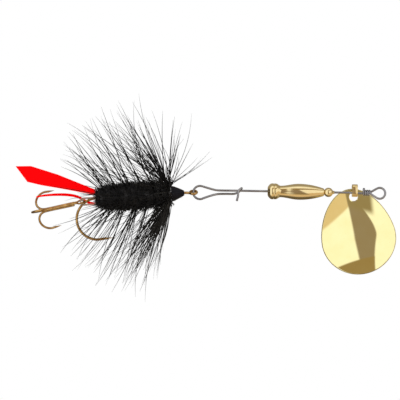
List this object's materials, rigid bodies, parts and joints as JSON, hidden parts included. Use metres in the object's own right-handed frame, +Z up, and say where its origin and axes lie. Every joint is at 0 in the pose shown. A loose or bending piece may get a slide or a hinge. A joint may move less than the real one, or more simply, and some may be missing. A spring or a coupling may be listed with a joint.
{
  "type": "inline spinner",
  "caption": "Inline fishing spinner: wire shaft with nose loop, brass blade on a strap clevis, bead and weight body, rear snap loop, dressed hook with red tail and trailing treble.",
  "frame": {"origin": "centre of the nose loop, where the line is tied", "axes": "+X along the shaft towards the nose, +Z up, the blade hangs towards -Z and its hollow side faces -Y"},
  "size_m": [0.0879, 0.039, 0.039],
  "materials": {
    "steel_wire": "drawn spring-steel wire",
    "brass_strap": "polished brass",
    "brass_blade": "mirror-polished brass",
    "brass_turned": "satin turned brass",
    "bronze_hook": "bronzed, clear-lacquered hook wire",
    "hook_braze": "brazed joint, bronzed over",
    "black_head": "varnished tying thread",
    "black_thread": "tying thread",
    "black_wool": "fuzzy chenille",
    "black_hackle": "hackle feather barbs",
    "red_tail": "dyed tail slip",
    "clear_nylon": "clear nylon line"
  },
  "bodies": {
    "wire": {"shaft_wire": "steel_wire"},
    "latch": {"latch_arm": "steel_wire"},
    "clevis": {"clevis": "brass_strap"},
    "blade": {"blade": "brass_blade"},
    "bead": {"bearing_bead": "brass_turned"},
    "weight": {"weight_body": "brass_turned"},
    "fly": {"fly_hook": "bronze_hook", "thread_head": "black_head", "underbody_thread": "black_thread", "wool_body": "black_wool", "tail_tie_wraps": "black_thread", "tether_tie_wraps": "black_thread", "palmer_stem": "black_hackle", "palmer_barbs": "black_hackle", "collar_stem": "black_hackle", "collar_barbs": "black_hackle", "tail_slip_wide": "red_tail", "tail_slip_narrow": "red_tail", "tether_loop": "clear_nylon"},
    "treble": {"treble_double_hook": "bronze_hook", "treble_single_hook": "bronze_hook", "treble_braze": "hook_braze"}
  },
  "joints": [
    {"name": "clevis_spin", "type": "hinge", "parent": "wire", "child": "clevis", "pos_m": [-0.0057, 0, 0], "axis": [1, 0, 0], "continuous": true},
    {"name": "blade_swing", "type": "hinge", "parent": "clevis", "child": "blade", "pos_m": [-0.0059, 0.0013, -0.0009], "axis": [0, 1, 0], "range_deg": [-30, 30]},
    {"name": "bead_spin", "type": "hinge", "parent": "wire", "child": "bead", "pos_m": [-0.0118, 0, 0], "axis": [1, 0, 0], "continuous": true},
    {"name": "weight_spin", "type": "hinge", "parent": "wire", "child": "weight", "pos_m": [-0.019, 0, 0], "axis": [1, 0, 0], "continuous": true},
    {"name": "latch_lift", "type": "hinge", "parent": "wire", "child": "latch", "pos_m": [-0.04233, 0, -0.00174], "axis": [0, -1, 0], "range_deg": [0, 17], "stiffness_Nm_per_rad": 0.002},
    {"name": "hook_yaw", "type": "hinge", "parent": "wire", "child": "fly", "pos_m": [-0.04285, 0, -0.00058], "axis": [0, 0, 1], "range_deg": [-75, 75]},
    {"name": "treble_yaw", "type": "hinge", "parent": "fly", "child": "treble", "pos_m": [-0.06872, -0.0006, -0.00322], "axis": [-0.0785, 0, 0.9969], "range_deg": [-15, 34]}
  ]
}
